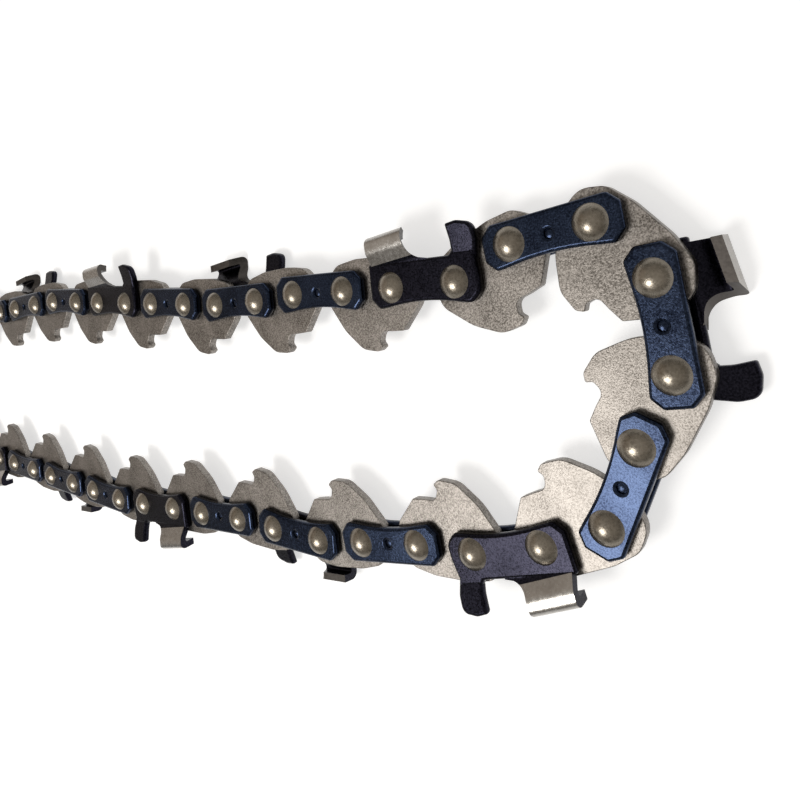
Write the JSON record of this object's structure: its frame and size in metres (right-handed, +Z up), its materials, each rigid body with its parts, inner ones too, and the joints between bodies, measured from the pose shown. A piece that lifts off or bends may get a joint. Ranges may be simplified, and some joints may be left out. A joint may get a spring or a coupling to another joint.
{
  "type": "saw chain",
  "caption": "Closed loop of low-profile saw chain lying on its side: drive links with tangs, tie straps, and left and right cutters with depth gauges, pivoting on rivets.",
  "frame": {"origin": "centre of the loop, on the surface that the chain lies on", "axes": "+X along the runs, +Z up along the rivets"},
  "size_m": [0.2502, 0.0586, 0.0067],
  "materials": {
    "drive_steel": "satin",
    "blued_steel": "satin",
    "cutter_steel": "polished"
  },
  "bodies": {
    "drive_link_01": {"drive_link_01": "drive_steel"},
    "drive_link_02": {"drive_link_02": "drive_steel"},
    "drive_link_03": {"drive_link_03": "drive_steel"},
    "drive_link_04": {"drive_link_04": "drive_steel"},
    "drive_link_05": {"drive_link_05": "drive_steel"},
    "drive_link_06": {"drive_link_06": "drive_steel"},
    "drive_link_07": {"drive_link_07": "drive_steel"},
    "drive_link_08": {"drive_link_08": "drive_steel"},
    "drive_link_09": {"drive_link_09": "drive_steel"},
    "drive_link_10": {"drive_link_10": "drive_steel"},
    "drive_link_11": {"drive_link_11": "drive_steel"},
    "drive_link_12": {"drive_link_12": "drive_steel"},
    "drive_link_13": {"drive_link_13": "drive_steel"},
    "drive_link_14": {"drive_link_14": "drive_steel"},
    "drive_link_15": {"drive_link_15": "drive_steel"},
    "drive_link_16": {"drive_link_16": "drive_steel"},
    "drive_link_17": {"drive_link_17": "drive_steel"},
    "drive_link_18": {"drive_link_18": "drive_steel"},
    "drive_link_19": {"drive_link_19": "drive_steel"},
    "drive_link_20": {"drive_link_20": "drive_steel"},
    "drive_link_21": {"drive_link_21": "drive_steel"},
    "drive_link_22": {"drive_link_22": "drive_steel"},
    "drive_link_23": {"drive_link_23": "drive_steel"},
    "drive_link_24": {"drive_link_24": "drive_steel"},
    "drive_link_25": {"drive_link_25": "drive_steel"},
    "drive_link_26": {"drive_link_26": "drive_steel"},
    "drive_link_27": {"drive_link_27": "drive_steel"},
    "drive_link_28": {"drive_link_28": "drive_steel"},
    "left_cutter_link_04": {"left_cutter_link_04": "cutter_steel"},
    "left_cutter_link_08": {"left_cutter_link_08": "cutter_steel"},
    "left_cutter_link_12": {"left_cutter_link_12": "cutter_steel"},
    "left_cutter_link_16": {"left_cutter_link_16": "cutter_steel"},
    "left_cutter_link_20": {"left_cutter_link_20": "cutter_steel"},
    "left_cutter_link_24": {"left_cutter_link_24": "cutter_steel"},
    "left_cutter_link_28": {"left_cutter_link_28": "cutter_steel"},
    "right_cutter_link_02": {"right_cutter_link_02": "cutter_steel"},
    "right_cutter_link_06": {"right_cutter_link_06": "cutter_steel"},
    "right_cutter_link_10": {"right_cutter_link_10": "cutter_steel"},
    "right_cutter_link_14": {"right_cutter_link_14": "cutter_steel"},
    "right_cutter_link_18": {"right_cutter_link_18": "cutter_steel"},
    "right_cutter_link_22": {"right_cutter_link_22": "cutter_steel"},
    "right_cutter_link_26": {"right_cutter_link_26": "cutter_steel"},
    "tie_link_01": {"tie_link_01": "blued_steel"},
    "tie_link_03": {"tie_link_03": "blued_steel"},
    "tie_link_05": {"tie_link_05": "blued_steel"},
    "tie_link_07": {"tie_link_07": "blued_steel"},
    "tie_link_09": {"tie_link_09": "blued_steel"},
    "tie_link_11": {"tie_link_11": "blued_steel"},
    "tie_link_13": {"tie_link_13": "blued_steel"},
    "tie_link_15": {"tie_link_15": "blued_steel"},
    "tie_link_17": {"tie_link_17": "blued_steel"},
    "tie_link_19": {"tie_link_19": "blued_steel"},
    "tie_link_21": {"tie_link_21": "blued_steel"},
    "tie_link_23": {"tie_link_23": "blued_steel"},
    "tie_link_25": {"tie_link_25": "blued_steel"},
    "tie_link_27": {"tie_link_27": "blued_steel"}
  },
  "joints": [
    {"name": "pivot_16", "type": "hinge", "parent": "left_cutter_link_08", "child": "drive_link_08", "pos_m": [0.11782, 0.00974, 0.00334], "axis": [0, 0, 1], "range_deg": [-1, 6]},
    {"name": "pivot_17", "type": "hinge", "parent": "drive_link_08", "child": "tie_link_09", "pos_m": [0.1139, 0.00198, 0.00334], "axis": [0, 0, 1], "range_deg": [-1, 6]},
    {"name": "pivot_18", "type": "hinge", "parent": "tie_link_09", "child": "drive_link_09", "pos_m": [0.11022, -0.00721, 0.00334], "axis": [0, 0, 1], "range_deg": [-1, 6]},
    {"name": "pivot_19", "type": "hinge", "parent": "drive_link_09", "child": "right_cutter_link_10", "pos_m": [0.10235, -0.01092, 0.00334], "axis": [0, 0, 1], "range_deg": [-1, 6]},
    {"name": "pivot_20", "type": "hinge", "parent": "right_cutter_link_10", "child": "drive_link_10", "pos_m": [0.09284, -0.01368, 0.00334], "axis": [0, 0, 1], "range_deg": [-1, 6]},
    {"name": "pivot_21", "type": "hinge", "parent": "drive_link_10", "child": "tie_link_11", "pos_m": [0.08416, -0.01432, 0.00334], "axis": [0, 0, 1], "range_deg": [-1, 6]},
    {"name": "pivot_22", "type": "hinge", "parent": "tie_link_11", "child": "drive_link_11", "pos_m": [0.07439, -0.0159, 0.00334], "axis": [0, 0, 1], "range_deg": [-1, 6]},
    {"name": "pivot_23", "type": "hinge", "parent": "drive_link_11", "child": "left_cutter_link_12", "pos_m": [0.0658, -0.01729, 0.00334], "axis": [0, 0, 1], "range_deg": [-6, 1]},
    {"name": "pivot_24", "type": "hinge", "parent": "left_cutter_link_12", "child": "drive_link_12", "pos_m": [0.0559, -0.01733, 0.00334], "axis": [0, 0, 1], "range_deg": [-6, 1]},
    {"name": "pivot_25", "type": "hinge", "parent": "drive_link_12", "child": "tie_link_13", "pos_m": [0.0472, -0.01736, 0.00334], "axis": [0, 0, 1], "range_deg": [-6, 1]},
    {"name": "pivot_26", "type": "hinge", "parent": "tie_link_13", "child": "drive_link_13", "pos_m": [0.03733, -0.01808, 0.00334], "axis": [0, 0, 1], "range_deg": [-6, 1]},
    {"name": "pivot_27", "type": "hinge", "parent": "drive_link_13", "child": "right_cutter_link_14", "pos_m": [0.02865, -0.01872, 0.00334], "axis": [0, 0, 1], "range_deg": [-6, 1]},
    {"name": "pivot_28", "type": "hinge", "parent": "right_cutter_link_14", "child": "drive_link_14", "pos_m": [0.01878, -0.01944, 0.00334], "axis": [0, 0, 1], "range_deg": [-6, 1]},
    {"name": "pivot_29", "type": "hinge", "parent": "drive_link_14", "child": "tie_link_15", "pos_m": [0.01009, -0.01993, 0.00334], "axis": [0, 0, 1], "range_deg": [-6, 1]},
    {"name": "pivot_30", "type": "hinge", "parent": "tie_link_15", "child": "drive_link_15", "pos_m": [0.0002, -0.01962, 0.00334], "axis": [0, 0, 1], "range_deg": [-6, 1]},
    {"name": "pivot_31", "type": "hinge", "parent": "drive_link_15", "child": "left_cutter_link_16", "pos_m": [-0.0085, -0.01934, 0.00334], "axis": [0, 0, 1], "range_deg": [-6, 1]},
    {"name": "pivot_32", "type": "hinge", "parent": "left_cutter_link_16", "child": "drive_link_16", "pos_m": [-0.01839, -0.01903, 0.00334], "axis": [0, 0, 1], "range_deg": [-6, 1]},
    {"name": "pivot_33", "type": "hinge", "parent": "drive_link_16", "child": "tie_link_17", "pos_m": [-0.02709, -0.01876, 0.00334], "axis": [0, 0, 1], "range_deg": [-6, 1]},
    {"name": "pivot_34", "type": "hinge", "parent": "tie_link_17", "child": "drive_link_17", "pos_m": [-0.03698, -0.01845, 0.00334], "axis": [0, 0, 1], "range_deg": [-6, 1]},
    {"name": "pivot_35", "type": "hinge", "parent": "drive_link_17", "child": "right_cutter_link_18", "pos_m": [-0.04568, -0.01818, 0.00334], "axis": [0, 0, 1], "range_deg": [-6, 1]},
    {"name": "pivot_36", "type": "hinge", "parent": "right_cutter_link_18", "child": "drive_link_18", "pos_m": [-0.05557, -0.01856, 0.00334], "axis": [0, 0, 1], "range_deg": [-6, 1]},
    {"name": "pivot_37", "type": "hinge", "parent": "drive_link_18", "child": "tie_link_19", "pos_m": [-0.06424, -0.01934, 0.00334], "axis": [0, 0, 1], "range_deg": [-1, 6]},
    {"name": "pivot_38", "type": "hinge", "parent": "tie_link_19", "child": "drive_link_19", "pos_m": [-0.07413, -0.01955, 0.00334], "axis": [0, 0, 1], "range_deg": [-1, 6]},
    {"name": "pivot_39", "type": "hinge", "parent": "drive_link_19", "child": "left_cutter_link_20", "pos_m": [-0.08283, -0.01973, 0.00334], "axis": [0, 0, 1], "range_deg": [-1, 6]},
    {"name": "pivot_40", "type": "hinge", "parent": "left_cutter_link_20", "child": "drive_link_20", "pos_m": [-0.09272, -0.02011, 0.00334], "axis": [0, 0, 1], "range_deg": [-1, 6]},
    {"name": "pivot_41", "type": "hinge", "parent": "drive_link_20", "child": "tie_link_21", "pos_m": [-0.10046, -0.02409, 0.00334], "axis": [0, 0, 1], "range_deg": [-1, 6]},
    {"name": "pivot_42", "type": "hinge", "parent": "tie_link_21", "child": "drive_link_21", "pos_m": [-0.11023, -0.02567, 0.00334], "axis": [0, 0, 1], "range_deg": [-1, 6]},
    {"name": "pivot_43", "type": "hinge", "parent": "drive_link_21", "child": "right_cutter_link_22", "pos_m": [-0.11641, -0.01954, 0.00334], "axis": [0, 0, 1], "range_deg": [-1, 6]},
    {"name": "pivot_15", "type": "hinge", "parent": "left_cutter_link_08", "child": "drive_link_07", "pos_m": [0.11641, 0.01954, 0.00334], "axis": [0, 0, -1], "range_deg": [-1, 6]},
    {"name": "pivot_14", "type": "hinge", "parent": "drive_link_07", "child": "tie_link_07", "pos_m": [0.11023, 0.02567, 0.00334], "axis": [0, 0, -1], "range_deg": [-1, 6]},
    {"name": "pivot_13", "type": "hinge", "parent": "tie_link_07", "child": "drive_link_06", "pos_m": [0.10046, 0.02409, 0.00334], "axis": [0, 0, -1], "range_deg": [-1, 6]},
    {"name": "pivot_12", "type": "hinge", "parent": "drive_link_06", "child": "right_cutter_link_06", "pos_m": [0.09272, 0.02011, 0.00334], "axis": [0, 0, -1], "range_deg": [-1, 6]},
    {"name": "pivot_11", "type": "hinge", "parent": "right_cutter_link_06", "child": "drive_link_05", "pos_m": [0.08283, 0.01973, 0.00334], "axis": [0, 0, -1], "range_deg": [-1, 6]},
    {"name": "pivot_10", "type": "hinge", "parent": "drive_link_05", "child": "tie_link_05", "pos_m": [0.07413, 0.01955, 0.00334], "axis": [0, 0, -1], "range_deg": [-1, 6]},
    {"name": "pivot_09", "type": "hinge", "parent": "tie_link_05", "child": "drive_link_04", "pos_m": [0.06424, 0.01934, 0.00334], "axis": [0, 0, -1], "range_deg": [-1, 6]},
    {"name": "pivot_08", "type": "hinge", "parent": "drive_link_04", "child": "left_cutter_link_04", "pos_m": [0.05557, 0.01856, 0.00334], "axis": [0, 0, -1], "range_deg": [-6, 1]},
    {"name": "pivot_07", "type": "hinge", "parent": "left_cutter_link_04", "child": "drive_link_03", "pos_m": [0.04568, 0.01818, 0.00334], "axis": [0, 0, -1], "range_deg": [-6, 1]},
    {"name": "pivot_06", "type": "hinge", "parent": "drive_link_03", "child": "tie_link_03", "pos_m": [0.03698, 0.01845, 0.00334], "axis": [0, 0, -1], "range_deg": [-6, 1]},
    {"name": "pivot_05", "type": "hinge", "parent": "tie_link_03", "child": "drive_link_02", "pos_m": [0.02709, 0.01876, 0.00334], "axis": [0, 0, -1], "range_deg": [-6, 1]},
    {"name": "pivot_04", "type": "hinge", "parent": "drive_link_02", "child": "right_cutter_link_02", "pos_m": [0.01839, 0.01903, 0.00334], "axis": [0, 0, -1], "range_deg": [-6, 1]},
    {"name": "pivot_03", "type": "hinge", "parent": "right_cutter_link_02", "child": "drive_link_01", "pos_m": [0.0085, 0.01934, 0.00334], "axis": [0, 0, -1], "range_deg": [-6, 1]},
    {"name": "pivot_02", "type": "hinge", "parent": "drive_link_01", "child": "tie_link_01", "pos_m": [-0.0002, 0.01962, 0.00334], "axis": [0, 0, -1], "range_deg": [-6, 1]},
    {"name": "pivot_01", "type": "hinge", "parent": "tie_link_01", "child": "drive_link_28", "pos_m": [-0.01009, 0.01993, 0.00334], "axis": [0, 0, -1], "range_deg": [-6, 1]},
    {"name": "pivot_56", "type": "hinge", "parent": "drive_link_28", "child": "left_cutter_link_28", "pos_m": [-0.01878, 0.01944, 0.00334], "axis": [0, 0, -1], "range_deg": [-6, 1]},
    {"name": "pivot_55", "type": "hinge", "parent": "left_cutter_link_28", "child": "drive_link_27", "pos_m": [-0.02865, 0.01872, 0.00334], "axis": [0, 0, -1], "range_deg": [-6, 1]},
    {"name": "pivot_54", "type": "hinge", "parent": "drive_link_27", "child": "tie_link_27", "pos_m": [-0.03733, 0.01808, 0.00334], "axis": [0, 0, -1], "range_deg": [-6, 1]},
    {"name": "pivot_53", "type": "hinge", "parent": "tie_link_27", "child": "drive_link_26", "pos_m": [-0.0472, 0.01736, 0.00334], "axis": [0, 0, -1], "range_deg": [-6, 1]},
    {"name": "pivot_52", "type": "hinge", "parent": "drive_link_26", "child": "right_cutter_link_26", "pos_m": [-0.0559, 0.01733, 0.00334], "axis": [0, 0, -1], "range_deg": [-6, 1]},
    {"name": "pivot_51", "type": "hinge", "parent": "right_cutter_link_26", "child": "drive_link_25", "pos_m": [-0.0658, 0.01729, 0.00334], "axis": [0, 0, -1], "range_deg": [-6, 1]},
    {"name": "pivot_50", "type": "hinge", "parent": "drive_link_25", "child": "tie_link_25", "pos_m": [-0.07439, 0.0159, 0.00334], "axis": [0, 0, -1], "range_deg": [-1, 6]},
    {"name": "pivot_49", "type": "hinge", "parent": "tie_link_25", "child": "drive_link_24", "pos_m": [-0.08416, 0.01432, 0.00334], "axis": [0, 0, -1], "range_deg": [-1, 6]},
    {"name": "pivot_48", "type": "hinge", "parent": "drive_link_24", "child": "left_cutter_link_24", "pos_m": [-0.09284, 0.01368, 0.00334], "axis": [0, 0, -1], "range_deg": [-1, 6]},
    {"name": "pivot_47", "type": "hinge", "parent": "left_cutter_link_24", "child": "drive_link_23", "pos_m": [-0.10235, 0.01092, 0.00334], "axis": [0, 0, -1], "range_deg": [-1, 6]},
    {"name": "pivot_46", "type": "hinge", "parent": "drive_link_23", "child": "tie_link_23", "pos_m": [-0.11022, 0.00721, 0.00334], "axis": [0, 0, -1], "range_deg": [-1, 6]},
    {"name": "pivot_45", "type": "hinge", "parent": "tie_link_23", "child": "drive_link_22", "pos_m": [-0.1139, -0.00198, 0.00334], "axis": [0, 0, -1], "range_deg": [-1, 6]}
  ],
  "couplings": [
    {"joint": "pivot_17", "follows": "pivot_16", "ratio": 1},
    {"joint": "pivot_18", "follows": "pivot_16", "ratio": 1},
    {"joint": "pivot_19", "follows": "pivot_16", "ratio": 1},
    {"joint": "pivot_20", "follows": "pivot_16", "ratio": 1},
    {"joint": "pivot_21", "follows": "pivot_16", "ratio": 1},
    {"joint": "pivot_22", "follows": "pivot_16", "ratio": 1},
    {"joint": "pivot_23", "follows": "pivot_16", "ratio": -1},
    {"joint": "pivot_24", "follows": "pivot_16", "ratio": -1},
    {"joint": "pivot_25", "follows": "pivot_16", "ratio": -1},
    {"joint": "pivot_26", "follows": "pivot_16", "ratio": -1},
    {"joint": "pivot_27", "follows": "pivot_16", "ratio": -1},
    {"joint": "pivot_28", "follows": "pivot_16", "ratio": -1},
    {"joint": "pivot_29", "follows": "pivot_16", "ratio": -1},
    {"joint": "pivot_30", "follows": "pivot_16", "ratio": -1},
    {"joint": "pivot_31", "follows": "pivot_16", "ratio": -1},
    {"joint": "pivot_32", "follows": "pivot_16", "ratio": -1},
    {"joint": "pivot_33", "follows": "pivot_16", "ratio": -1},
    {"joint": "pivot_34", "follows": "pivot_16", "ratio": -1},
    {"joint": "pivot_35", "follows": "pivot_16", "ratio": -1},
    {"joint": "pivot_36", "follows": "pivot_16", "ratio": -1},
    {"joint": "pivot_37", "follows": "pivot_16", "ratio": 1},
    {"joint": "pivot_38", "follows": "pivot_16", "ratio": 1},
    {"joint": "pivot_39", "follows": "pivot_16", "ratio": 1},
    {"joint": "pivot_40", "follows": "pivot_16", "ratio": 1},
    {"joint": "pivot_41", "follows": "pivot_16", "ratio": 1},
    {"joint": "pivot_42", "follows": "pivot_16", "ratio": 1},
    {"joint": "pivot_43", "follows": "pivot_16", "ratio": 1},
    {"joint": "pivot_15", "follows": "pivot_16", "ratio": 1},
    {"joint": "pivot_14", "follows": "pivot_16", "ratio": 1},
    {"joint": "pivot_13", "follows": "pivot_16", "ratio": 1},
    {"joint": "pivot_12", "follows": "pivot_16", "ratio": 1},
    {"joint": "pivot_11", "follows": "pivot_16", "ratio": 1},
    {"joint": "pivot_10", "follows": "pivot_16", "ratio": 1},
    {"joint": "pivot_09", "follows": "pivot_16", "ratio": 1},
    {"joint": "pivot_08", "follows": "pivot_16", "ratio": -1},
    {"joint": "pivot_07", "follows": "pivot_16", "ratio": -1},
    {"joint": "pivot_06", "follows": "pivot_16", "ratio": -1},
    {"joint": "pivot_05", "follows": "pivot_16", "ratio": -1},
    {"joint": "pivot_04", "follows": "pivot_16", "ratio": -1},
    {"joint": "pivot_03", "follows": "pivot_16", "ratio": -1},
    {"joint": "pivot_02", "follows": "pivot_16", "ratio": -1},
    {"joint": "pivot_01", "follows": "pivot_16", "ratio": -1},
    {"joint": "pivot_56", "follows": "pivot_16", "ratio": -1},
    {"joint": "pivot_55", "follows": "pivot_16", "ratio": -1},
    {"joint": "pivot_54", "follows": "pivot_16", "ratio": -1},
    {"joint": "pivot_53", "follows": "pivot_16", "ratio": -1},
    {"joint": "pivot_52", "follows": "pivot_16", "ratio": -1},
    {"joint": "pivot_51", "follows": "pivot_16", "ratio": -1},
    {"joint": "pivot_50", "follows": "pivot_16", "ratio": 1},
    {"joint": "pivot_49", "follows": "pivot_16", "ratio": 1},
    {"joint": "pivot_48", "follows": "pivot_16", "ratio": 1},
    {"joint": "pivot_47", "follows": "pivot_16", "ratio": 1},
    {"joint": "pivot_46", "follows": "pivot_16", "ratio": 1},
    {"joint": "pivot_45", "follows": "pivot_16", "ratio": 1}
  ]
}
